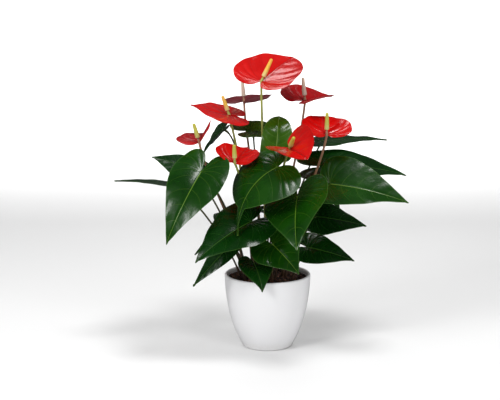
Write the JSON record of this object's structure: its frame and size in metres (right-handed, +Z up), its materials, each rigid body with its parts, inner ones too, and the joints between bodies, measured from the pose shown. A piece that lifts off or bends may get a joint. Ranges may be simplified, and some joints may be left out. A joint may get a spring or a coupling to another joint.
{
  "type": "potted anthurium plant",
  "caption": "Potted anthurium with glossy heart-shaped leaves on long stalks and red spathes under upright spadices, in a plain round white pot that tapers to its foot.",
  "frame": {"origin": "on the pot's axis, in the plane of its flat underside", "axes": "+Z up along the pot's axis, -Y towards the side that the flowers and most leaves face, +X to the right seen from that side"},
  "size_m": [0.4842, 0.3386, 0.4795],
  "materials": {
    "pot_glaze": "smooth satin white glaze",
    "potting_mix": "rough reddish brown bark and peat",
    "leaf_blade": "glossy dark green with pale veins",
    "leaf_stalk": "satin olive to brown",
    "spathe": "glossy waxy red with raised veins",
    "flower_stalk": "satin yellow green to reddish brown, with a bumpy cream to yellow spadix"
  },
  "bodies": {
    "root": {"pot": "pot_glaze", "potting_mix": "potting_mix", "leaf_front_left": "leaf_blade", "leaf_stalk_front_left": "leaf_stalk", "leaf_back_left": "leaf_blade", "leaf_stalk_back_left": "leaf_stalk", "leaf_far_left": "leaf_blade", "leaf_stalk_far_left": "leaf_stalk", "leaf_upper_left": "leaf_blade", "leaf_stalk_upper_left": "leaf_stalk", "leaf_upper_middle": "leaf_blade", "leaf_stalk_upper_middle": "leaf_stalk", "leaf_young_upright": "leaf_blade", "leaf_stalk_young_upright": "leaf_stalk", "leaf_middle_front": "leaf_blade", "leaf_stalk_middle_front": "leaf_stalk", "leaf_right_front": "leaf_blade", "leaf_stalk_right_front": "leaf_stalk", "leaf_lower_left": "leaf_blade", "leaf_stalk_lower_left": "leaf_stalk", "leaf_lower_middle": "leaf_blade", "leaf_stalk_lower_middle": "leaf_stalk", "leaf_rim_leaf": "leaf_blade", "leaf_stalk_rim_leaf": "leaf_stalk", "leaf_hanging_left": "leaf_blade", "leaf_stalk_hanging_left": "leaf_stalk", "leaf_low_back_left": "leaf_blade", "leaf_stalk_low_back_left": "leaf_stalk", "leaf_right_middle": "leaf_blade", "leaf_stalk_right_middle": "leaf_stalk", "leaf_right_low": "leaf_blade", "leaf_stalk_right_low": "leaf_stalk", "leaf_right_big": "leaf_blade", "leaf_stalk_right_big": "leaf_stalk", "leaf_right_back": "leaf_blade", "leaf_stalk_right_back": "leaf_stalk", "leaf_right_high": "leaf_blade", "leaf_stalk_right_high": "leaf_stalk", "leaf_back_middle": "leaf_blade", "leaf_stalk_back_middle": "leaf_stalk", "leaf_back_right": "leaf_blade", "leaf_stalk_back_right": "leaf_stalk", "leaf_back_low": "leaf_blade", "leaf_stalk_back_low": "leaf_stalk", "spathe_top": "spathe", "flower_stalk_top": "flower_stalk", "spathe_back_right": "spathe", "flower_stalk_back_right": "flower_stalk", "spathe_left": "spathe", "flower_stalk_left": "flower_stalk", "spathe_back_left": "spathe", "flower_stalk_back_left": "flower_stalk", "spathe_far_left": "spathe", "flower_stalk_far_left": "flower_stalk", "spathe_front_left": "spathe", "flower_stalk_front_left": "flower_stalk", "spathe_front_middle": "spathe", "flower_stalk_front_middle": "flower_stalk", "spathe_right": "spathe", "flower_stalk_right": "flower_stalk"}
  },
  "joints": []
}
